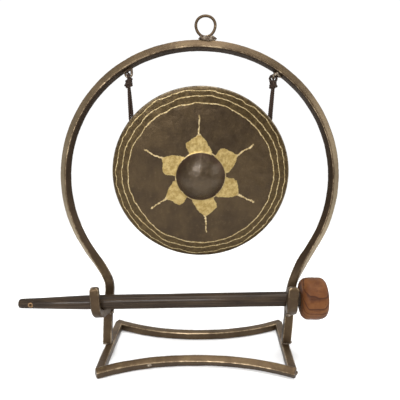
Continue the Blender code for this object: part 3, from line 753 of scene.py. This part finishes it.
welded = weld_metal()
beads = [weld_bead("bead_ring_crown", (RING_EYE_X + 1.4, 0.0, 275.6), (7.2, 3.0, 2.3), 2.0,
                   "hanging_ring_weld"),
         weld_bead("bead_ring_left", (RING_EYE_X - 2.9, -0.8, 277.0), (2.0, 1.7, 1.5), 4.0),
         weld_bead("bead_ring_right", (RING_EYE_X + 4.6, -0.6, 276.6), (2.6, 1.9, 1.6), 6.0)]
for side, hook in HOOKS.items():
    inward = 1.0 if side == "left" else -1.0
    foot_x, foot_z = LEG_FEET[side]
    root_x, root_z = hook["root"]
    beads.append(weld_bead(f"bead_leg_{side}", (foot_x, 0.0, foot_z), (4.9, 5.2, 1.5),
                           10.0 + inward, f"leg_weld_{side}"))
    beads.append(weld_bead(f"bead_hook_{side}", (root_x, -4.6, root_z - 1.5), (4.8, 1.9, 4.2),
                           14.0 + inward, f"hook_weld_{side}"))
    beads.append(weld_bead(f"bead_hook_under_{side}", (root_x + 1.9 * inward, -6.0, root_z - 4.6),
                           (2.7, 2.2, 2.0), 18.0 + inward))
    eye_weld_x = (EYE_ROOTS[side][0][0] + EYE_ROOTS[side][1][0]) / 2
    slope = math.asin(eye_weld_x / EYE_WELD_R)
    eye_place = (eye_weld_x, 0.0, RING_CENTRE_Z + EYE_WELD_R * math.cos(slope))
    beads.append(weld_bead(f"bead_eye_{side}", eye_place, (4.0, 3.0, 1.5), 22.0 + inward,
                           f"eye_weld_{side}", slope))
    for end, x, towards in zip(("front", "back"), SIDE_BARS[side], (1.0, -1.0)):
        y = rail_point(RAILS[end], x)[1]
        beads.append(weld_bead(f"bead_{end}_{side}", (x + 2.6 * inward, y + 3.4 * towards, 3.6),
                               (3.0, 2.8, 3.1), 26.0 + inward + towards,
                               f"corner_weld_{end}_{side}"))
beads.append(weld_bead("bead_corner_outside", (79.9, -46.4, 4.2), (1.9, 1.9, 2.0), 33.0))
beads.append(weld_bead("bead_hook_bend_right", (75.9, -26.0, 46.9), (2.6, 2.1, 1.9), 29.0))
beads.append(weld_bead("bead_rail_scar", (-43.0, -35.6, 4.9), (2.2, 1.4, 1.0), 35.0))
for piece in beads + eyes:
    piece.data.materials.append(welded)

# ---------------------------------------------------------------- gong
# A disc of cast bronze, hammered out over a block: a shallow dome with a raised boss and
# a rim turned back. It is blackened, and the gold lines and leaves are scraped through to
# bright bronze by hand. Two holes in the rim take the cords.

GONG_R = 75.4
DOME = 3.0
BOSS_R = 20.4
BOSS_RISE = 10.5
BOSS_BLEND = 1.3  # how softly the boss runs out into the dome
WALL = 2.2
RIM_ROUND = 1.6
RIM_DEPTH = 22.0
RIM_TAPER = 7.0
HOLE_BACK = 9.3
HOLE_D = 4.6
DENT_SIZE = 5.8
DENT_DEPTH = 0.42
RIPPLE_SIZE = 9.0
RIPPLE_DEPTH = 0.22
GONG_TILT_DEG = 7.843  # it hangs with its weight under the two holes
GONG_SPOKES = 256

tilt = math.radians(GONG_TILT_DEG)
FORWARD = Vector((0.0, -math.cos(tilt), -math.sin(tilt)))
UPWARD = Vector((0.0, -math.sin(tilt), math.cos(tilt)))
gong_pivot = Vector(hinges["gong_tilt"]["pos_m"])
gong_centre = gong_pivot + (FORWARD * HOLE_BACK - UPWARD * HOLE_RISE) * MM


def gong_front(radius):
    """How far forward the front face is at a radius, with the boss on the dome."""
    dome = DOME * (1 - (radius / GONG_R) ** 2)
    ball = (BOSS_R ** 2 + BOSS_RISE ** 2) / (2 * BOSS_RISE)
    boss_low = DOME * (1 - (BOSS_R / GONG_R) ** 2)
    boss = boss_low + BOSS_RISE - ball + math.sqrt(max(ball ** 2 - radius ** 2, 0.0))
    if radius > ball:
        boss = -50.0
    steep = (boss - dome) / BOSS_BLEND
    return dome + BOSS_BLEND * math.log1p(math.exp(min(steep, 40.0))) if steep < 40.0 else boss


def gong_outline():
    """The wall as (radius, forward) points: front, rim, flange, and home inside."""
    flange = [(GONG_R - RIM_TAPER * (back / RIM_DEPTH) ** 1.2, -back)
              for back in np.linspace(2.2, RIM_DEPTH - 0.8, 17)]
    front_end = GONG_R - RIM_ROUND * 1.3
    front = [(r, gong_front(r)) for r in np.linspace(0.6, front_end, 68)]
    rim_low = flange[0]
    rim = [(GONG_R - 1.15, gong_front(front_end) - 0.45), (GONG_R - 0.45, -0.35),
           (GONG_R - 0.08, -1.1)]
    lip_r, lip_f = flange[-1]
    lip = [(lip_r - 0.35, lip_f - 0.6), (lip_r - 1.1, lip_f - 0.8), (lip_r - 1.85, lip_f - 0.6)]
    inner_flange = [(r - WALL, f) for r, f in flange[::-1]]
    inner_front = [(r, gong_front(r) - WALL) for r in np.linspace(GONG_R - 5.2, 0.6, 56)]
    corner = [(rim_low[0] - WALL - 0.4, gong_front(GONG_R - 3.0) - WALL - 0.9)]
    return front + rim + flange + lip + inner_flange + corner + inner_front


outline = gong_outline()
slopes = np.gradient(np.array(outline), axis=0)
points = []
for (radius, forward), (dr, df) in zip(outline, slopes):
    size = math.hypot(dr, df)
    out_r = -df / size
    out_f = dr / size
    for spoke in range(GONG_SPOKES):
        angle = 2 * math.pi * spoke / GONG_SPOKES
        spot = Vector((radius * math.cos(angle), radius * math.sin(angle), forward))
        distances, _ = noise.voronoi(spot / DENT_SIZE)
        dents = distances[0] ** 2 - 0.25
        ripple = noise.fractal(spot / RIPPLE_SIZE, 1.0, 2.0, 4)
        away_from_edge = min(max((GONG_R + 0.5 - radius) / 4.0, 0.15), 1.0)
        lift = (DENT_DEPTH * dents + RIPPLE_DEPTH * ripple) * away_from_edge - 0.08
        spoke_way = Vector((math.cos(angle), 0.0, 0.0)) + UPWARD * math.sin(angle)
        place = spoke_way * (radius + out_r * lift) + FORWARD * (forward + out_f * lift)
        points.append(gong_centre + place * MM)
faces = faces_between(len(outline), GONG_SPOKES)
for ring in (0, (len(outline) - 1) * GONG_SPOKES):
    faces.append(tuple(range(ring, ring + GONG_SPOKES)))
gong = link_mesh("hammered_gong", points, faces)


def drill(piece, start, end, diameter):
    """Cut a round hole right through a piece, from one point to another in metres."""
    shape = bmesh.new()
    bmesh.ops.create_cone(shape, cap_ends=True, segments=28, radius1=diameter / 2 * MM,
                          radius2=diameter / 2 * MM, depth=(end - start).length)
    turn = Vector((0, 0, 1)).rotation_difference(end - start).to_matrix().to_4x4()
    bmesh.ops.transform(shape, matrix=Matrix.Translation((start + end) / 2) @ turn,
                        verts=shape.verts)
    mesh = bpy.data.meshes.new("drill")
    shape.to_mesh(mesh)
    shape.free()
    bit = bpy.data.objects.new("drill", mesh)
    bpy.context.scene.collection.objects.link(bit)
    cut = piece.modifiers.new("hole", "BOOLEAN")
    cut.operation = "DIFFERENCE"
    cut.solver = "EXACT"
    cut.object = bit
    bpy.context.view_layer.update()
    solid = piece.evaluated_get(bpy.context.evaluated_depsgraph_get())
    drilled = bpy.data.meshes.new_from_object(solid)
    piece.modifiers.clear()
    piece.data = drilled
    bpy.data.objects.remove(bit)


for sign in (-1.0, 1.0):
    hole = gong_pivot + Vector((sign * HOLE_X * MM, 0.0, 0.0))
    spoke = (Vector((sign * HOLE_X, 0.0, 0.0)) + UPWARD * HOLE_RISE).normalized()
    drill(gong, hole - spoke * 7.0 * MM, hole + spoke * 5.0 * MM, HOLE_D)
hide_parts("gong")
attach(gong, "gong")

GOLD_RINGS = ((71.9, 0.30), (67.0, 0.32), (61.9, 0.36), (21.3, 0.36))
LEAVES_DEG = (-84.0, -27.0, 31.5, 91.5, 154.0, 214.0)
EVEN_START_DEG = -88.5  # where the first leaf would be if all six were evenly spaced
# half of a leaf's width at distances from the gong's middle: one side swells, one tapers
LEAF_FROM, LEAF_TO = 19.0, 53.0
FULL_SIDE = [(19.0, 9.0), (22.0, 9.8), (26.0, 11.5), (29.5, 11.0), (32.5, 6.6), (34.5, 3.0),
             (36.2, 0.9), (45.0, 0.55), (51.5, 0.75), (52.8, 0.0)]
SLIM_SIDE = [(19.0, 9.2), (22.5, 9.2), (26.0, 7.7), (30.0, 5.9), (33.0, 3.6), (35.0, 1.6),
             (36.4, 0.9), (45.0, 0.55), (51.5, 0.75), (52.8, 0.0)]


def blackened_bronze():
    """Blackened hammered bronze, with lines and leaves scraped through to bright gold."""
    finish = Finish("blackened_bronze")
    offset = finish.offset(gong_centre)
    x, y, forward = [finish.along(offset, direction / MM)
                     for direction in (Vector((1.0, 0.0, 0.0)), UPWARD, FORWARD)]
    waver = finish.noise(9.0, 3.0, 0.6)
    ragged = finish.noise(1.5, 3.0, 0.65)
    radius = (x * x + y * y) ** 0.5
    angle = y.math("ARCTAN2", x) * (180.0 / math.pi)
    normal = finish.node("ShaderNodeTexCoord", {}, {}, "Normal")
    front = finish.along(normal, FORWARD).step(0.05, 0.30)

    gold = None
    for number, (ring_radius, half) in enumerate(GOLD_RINGS):
        hand = finish.noise(10.0 + 1.7 * number, 2.0, 0.5)
        shaken = radius + 4.2 * (hand - 0.5) + 0.9 * (ragged - 0.5)
        away = (shaken - ring_radius).math("ABSOLUTE")
        line = (half * (0.55 + 1.1 * waver) - away).step(-0.16, 0.20)
        gold = line if gold is None else gold.math("MAXIMUM", line)

    def ramp(share, stops, interpolation="LINEAR"):
        grey = [(position, (value, value, value, 1.0)) for position, value in stops]
        return finish.node("ShaderNodeValToRGB",
                           {"ramp_interpolation": interpolation, "stops": grey}, {0: share})

    turned = (angle - (EVEN_START_DEG - 30.0)) / 60.0
    sector = turned.math("FLOOR")
    leaf_number = (sector + 6.0).math("MODULO", 6.0)
    errors = [(leaf / 6.0, (degrees - EVEN_START_DEG - 60.0 * leaf) / 10.0)
              for leaf, degrees in enumerate(LEAVES_DEG)]
    error = ramp(leaf_number / 6.0 + 0.01, errors, "CONSTANT") * 10.0
    bearing = ((turned - sector - 0.5) * 60.0 - error) * (math.pi / 180.0)
    outward = radius * bearing.math("COSINE") + 3.0 * (waver - 0.5)
    aside = radius * bearing.math("SINE") + 4.2 * (waver - 0.52)
    share = (outward - LEAF_FROM) / (LEAF_TO - LEAF_FROM)
    halves = [ramp(share, [((at_r - LEAF_FROM) / (LEAF_TO - LEAF_FROM), half / 12.0)
                           for at_r, half in side]) * 12.0 for side in (FULL_SIDE, SLIM_SIDE)]
    full = aside.step(-0.2, 0.2)
    half = halves[0] * full + halves[1] * (1 - full)
    leaf = (half - aside.math("ABSOLUTE") + 1.7 * (ragged - 0.5)).step(-0.1, 0.35)
    leaf = leaf * (radius - 20.9).step(-0.3, 0.3) * (LEAF_TO - 0.1 - outward).step(0.0, 0.5)
    stem = leaf * (outward - 35.0).step(0.0, 1.0)
    gold = gold.math("MAXIMUM", leaf) * front

    cloud = finish.noise(26.0, 4.0, 0.6)
    mottle = finish.noise(3.2, 4.0, 0.65)
    grit = finish.noise(0.8, 3.0, 0.7)
    grey = finish.colour(cloud.step(0.35, 0.65), (0.027, 0.016, 0.007), (0.048, 0.030, 0.013))
    olive = finish.colour(mottle.step(0.38, 0.66), (0.032, 0.019, 0.005), (0.060, 0.038, 0.011))
    band = (radius - 60.5).step(0.0, 1.6)
    patina = finish.colour(band * 0.85, grey, olive)
    patina = finish.colour(mottle.step(0.55, 0.75) * 0.35, patina, (0.080, 0.054, 0.028))
    foot = (radius - 15.0).step(0.0, 4.5) * (1 - (radius - 20.6).step(0.0, 0.8))
    patina = finish.colour(foot * 0.6, patina, (0.030, 0.014, 0.008))
    patina = finish.colour(grit.step(0.60, 0.78) * 0.4, patina, (0.026, 0.017, 0.010))
    halo = (leaf + 0.4 * mottle).step(0.05, 0.6) * 0.4
    patina = finish.colour(halo * front, patina, (0.090, 0.058, 0.020))
    bright = finish.colour(mottle.step(0.35, 0.70), (0.24, 0.165, 0.054), (0.38, 0.29, 0.122))
    bright = finish.colour(ragged.step(0.55, 0.75) * 0.45, bright, (0.15, 0.095, 0.032))
    lines = finish.colour(ragged.step(0.35, 0.7), (0.27, 0.195, 0.085), (0.50, 0.40, 0.23))
    paint = finish.colour(1 - (leaf - stem), bright, lines)
    # painted highlight: the rim's rounded front edge is coloured light grey-brown, broken up by the
    # mottling
    rim = (radius - (GONG_R - 1.3)).step(0.0, 0.9) * (forward + 3.0).step(0.0, 2.0)
    patina = finish.colour(rim * mottle.step(0.35, 0.65) * 0.7, patina, (0.30, 0.25, 0.18))
    duller = 0.12 * (1 - front) + 0.10 * gold
    finish.set(Base_Color=finish.colour(gold, patina, paint), Metallic=0.60 + 0.25 * gold,
               Specular_IOR_Level=0.3,
               Roughness=0.36 + duller + 0.18 * (mottle - 0.5) + 0.14 * (cloud - 0.5))
    boss = (radius - 12.0).step(8.0, 0.0)
    finish.set(Coat_Weight=0.04 + 0.24 * boss * (0.2 + 1.6 * mottle), Coat_Roughness=0.30)
    relief = 0.50 * mottle + 0.30 * grit + 0.20 * gold
    finish.bump(relief, 0.48)
    return finish.material


gong.data.materials.clear()
gong.data.materials.append(blackened_bronze())

# ---------------------------------------------------------------- mallet handle
# A turned stick of hardwood, tapered towards the hand and lacquered dark brown, with a
# hole for a hanging cord drilled near its end. It lies in the hooks and lifts out.

MALLET_Y = -17.0
MALLET_Z = 56.0
MALLET_RISE = math.radians(1.1)
HANDLE_STEPS = 40
HANDLE = [(-157.5, 1.6), (-157.3, 2.9), (-156.6, 3.8), (-155.2, 4.25), (-150.0, 4.45),
          (-140.0, 4.75), (-118.0, 5.55), (-99.0, 6.25), (-60.0, 6.35), (20.0, 6.40),
          (87.0, 6.40), (87.6, 5.4)]
HANG_HOLE_X = -146.0
HANG_HOLE_D = 2.9


def mallet_point(x, y, z):
    """A place on the mallet, measured along its own rising axis, in the stand's frame."""
    return (x * math.cos(MALLET_RISE) - z * math.sin(MALLET_RISE), MALLET_Y + y,
            MALLET_Z + x * math.sin(MALLET_RISE) + z * math.cos(MALLET_RISE))


handle_marks = np.concatenate([np.linspace(-157.5, -154.0, 9), np.arange(-152.8, 86.8, 1.3),
                               [87.0, 87.3, 87.6]])
handle_route = np.array([mallet_point(x, 0.0, 0.0) for x in handle_marks])
handle_radii = np.interp(handle_marks, *zip(*HANDLE))
angles = np.linspace(0.0, 2 * math.pi, HANDLE_STEPS, endpoint=False)
turning = np.array([[noise.noise(Vector((x * 0.035, 1.1 * math.cos(a), 1.1 * math.sin(a))))
                     for a in angles] for x in handle_marks])
radii = handle_radii[:, None] + 0.16 * turning - 0.05
handle_outline = np.stack([radii * np.cos(angles), radii * np.sin(angles)], axis=2)
handle = skin("turned_handle", handle_route, handle_outline, TO_SKY)
hole_front = at(*mallet_point(HANG_HOLE_X, -8.0, 0.0))
hole_back = at(*mallet_point(HANG_HOLE_X, 8.0, 0.0))
drill(handle, hole_front, hole_back, HANG_HOLE_D)
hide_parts("mallet_handle")
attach(handle, "mallet")


def dark_lacquer():
    """Dark lacquer on a turned stick: long fibres show, and the hole is bare wood."""
    finish = Finish("dark_lacquer")
    fibre = finish.noise(1.1, 4.0, 0.6, stretch=(0.035, 1.0, 1.0))
    drift = finish.noise(14.0, 3.0, 0.5, stretch=(0.25, 1.0, 1.0))
    pits = finish.noise(0.8, 3.0, 0.6, stretch=(0.4, 1.0, 1.0))
    tone = finish.colour(fibre.step(0.36, 0.66), (0.012, 0.007, 0.004), (0.031, 0.020, 0.011))
    tone = finish.colour(drift.step(0.45, 0.75) * 0.5, tone, (0.044, 0.026, 0.014))
    tone = finish.colour(pits.step(0.62, 0.74) * 0.4, tone, (0.11, 0.080, 0.052))
    away = finish.distance((hole_front + hole_back) / 2, (1000.0, 0.0, 1000.0))
    bare = 1 - (away + 1.6 * (pits - 0.5)).step(1.7, 2.4)
    tone = finish.colour(bare * 0.8, tone, (0.26, 0.155, 0.075))
    finish.set(Base_Color=tone, Roughness=0.44 + 0.16 * fibre + 0.2 * bare, Specular_IOR_Level=0.10,
               Coat_Weight=0.03 + 0.12 * drift, Coat_Roughness=0.12)
    finish.bump(0.6 * fibre + 0.4 * pits, 0.14)
    return finish.material


handle.data.materials.clear()
handle.data.materials.append(dark_lacquer())

# ---------------------------------------------------------------- mallet head
# A short barrel turned from reddish hardwood and glued on the end of the handle. Its ends
# are rounded over by hand, its long grain shows in dark lines, and the finish is thin.

HEAD_FROM = 87.1
HEAD_LENGTH = 22.6
HEAD_R = 18.4
HEAD_ROUND = 6.0
HEAD_STEPS = 96


def head_radius(share):
    """The barrel's radius along its length: full in the middle, rounded at both ends."""
    x = share * HEAD_LENGTH
    belly = HEAD_R - 0.9 * (2 * share - 0.95) ** 2
    near = min(x, HEAD_LENGTH - x) / HEAD_ROUND
    if near >= 1.0:
        return belly
    return belly - HEAD_ROUND * 0.92 * (1 - math.sqrt(max(1 - (1 - near) ** 2.2, 0.0)))


shares = np.concatenate([np.linspace(0.0, 0.02, 4), np.linspace(0.035, 0.965, 44),
                         np.linspace(0.98, 1.0, 4)])
rings = [(share, head_radius(share)) for share in shares]
fan = [(0.0, rings[0][1] * k) for k in (0.0, 0.35, 0.6, 0.8, 0.93)]
back = [(1.0, rings[-1][1] * k) for k in (0.93, 0.8, 0.6, 0.35, 0.0)]
points = []
for share, radius in fan + rings + back:
    for step in range(HEAD_STEPS):
        angle = 2 * math.pi * step / HEAD_STEPS
        spot = Vector((share * 3.0, math.cos(angle), math.sin(angle)))
        facet = noise.noise(spot * 1.3) * 0.35 + noise.noise(spot * 4.0) * 0.10
        wide = radius + (facet - 0.22) * min(radius / HEAD_R, 1.0)
        crown = 0.5 * (1 - (radius / rings[0][1]) ** 2) if radius < rings[0][1] else 0.0
        x = HEAD_FROM + share * HEAD_LENGTH + (crown if share > 0.5 else -crown) * 0.4
        points.append(at(*mallet_point(x, wide * math.cos(angle), wide * math.sin(angle))))
faces = faces_between(len(points) // HEAD_STEPS, HEAD_STEPS)
head = link_mesh("turned_head", points, faces)
shape = bmesh.new()
shape.from_mesh(head.data)
bmesh.ops.remove_doubles(shape, verts=shape.verts, dist=0.000005)
shape.to_mesh(head.data)
shape.free()
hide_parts("mallet_head")
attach(head, "mallet")


def red_hardwood():
    """Reddish-brown hardwood: growth rings cut by the barrel, open pores, thin varnish."""
    finish = Finish("red_hardwood")
    pith = at(*mallet_point(HEAD_FROM, 13.0, -24.0))
    from_pith = finish.distance(pith, (220.0, 1000.0, 1000.0))
    sway = finish.noise(12.0, 3.0, 0.55, stretch=(0.30, 1.0, 1.0))
    growth = (from_pith / 4.2 + 1.5 * sway).math("FRACT")
    late = growth.step(0.62, 0.93) * (1 - growth.step(0.94, 1.0))
    pore = finish.noise(0.7, 3.0, 0.6, stretch=(0.10, 1.0, 1.0))
    cloud = finish.noise(9.0, 3.0)
    tone = finish.colour(cloud.step(0.3, 0.7), (0.074, 0.026, 0.009), (0.112, 0.044, 0.015))
    tone = finish.colour(late * 0.85, tone, (0.026, 0.009, 0.005))
    tone = finish.colour(pore.step(0.60, 0.72) * 0.6, tone, (0.042, 0.017, 0.009))
    finish.set(Base_Color=tone, Roughness=0.48 + 0.2 * (pore - 0.5) + 0.08 * late,
               Specular_IOR_Level=0.08)
    finish.bump(0.6 * (1 - late) + 0.4 * (1 - pore.step(0.58, 0.72)), 0.16)
    return finish.material


head.data.materials.append(red_hardwood())

# ---------------------------------------------------------------- floor and light
# A plain pale table under the stand, in a soft white studio: lights in front, at the left
# of the viewer, at the right and overhead, and white all round.

FLOOR_R = 0.5
floor_mesh = bpy.data.meshes.new("floor")
brim = [(FLOOR_R * math.cos(math.radians(3 * step)), FLOOR_R * math.sin(math.radians(3 * step)), 0.0)
        for step in range(120)]
floor_mesh.from_pydata(brim, [], [tuple(range(120))])
floor = bpy.data.objects.new("floor", floor_mesh)
floor.location.z = -0.0002
bpy.context.scene.collection.objects.link(floor)
floor_finish = Finish("pale_table")
floor_finish.set(Base_Color=(0.90, 0.90, 0.90), Roughness=0.9)
floor_mesh.materials.append(floor_finish.material)


def softbox(name, place, aim, size, watts):
    """A square soft light at a place in metres, turned to a point."""
    light = bpy.data.lights.new(name, "AREA")
    light.shape = "SQUARE"
    light.size = size
    light.energy = watts
    made = bpy.data.objects.new(name, light)
    bpy.context.scene.collection.objects.link(made)
    made.location = place
    made.rotation_euler = (Vector(aim) - Vector(place)).to_track_quat("-Z", "Y").to_euler()
    return made


middle = at(0.0, 0.0, 150.0)
softbox("front_light", middle + Vector((-0.15, -1.05, 0.58)), middle, 0.34, 11.0)
softbox("top_light", middle + Vector((0.10, -0.15, 1.15)), middle, 0.8, 13.0)
softbox("left_light", middle + Vector((-0.38, -0.85, 0.18)), middle, 0.16, 3.8)
softbox("right_light", middle + Vector((0.85, -0.40, 0.25)), middle, 0.45, 3.5)
world = bpy.data.worlds.new("studio")
world.use_nodes = True
sky = world.node_tree.nodes
sides = sky.new("ShaderNodeSeparateXYZ")
shade = sky.new("ShaderNodeMapRange")
world.node_tree.links.new(sky.new("ShaderNodeTexCoord").outputs["Generated"], sides.inputs[0])
world.node_tree.links.new(sides.outputs["Y"], shade.inputs["Value"])
for socket, value in {"From Min": -0.7, "From Max": 0.3, "To Min": 0.30, "To Max": 1.05}.items():
    shade.inputs[socket].default_value = value
world.node_tree.links.new(shade.outputs[0], sky["Background"].inputs["Strength"])
sky["Background"].inputs["Color"].default_value = (1.0, 1.0, 1.0, 1.0)
bpy.context.scene.world = world
bpy.context.scene.view_settings.view_transform = "Standard"
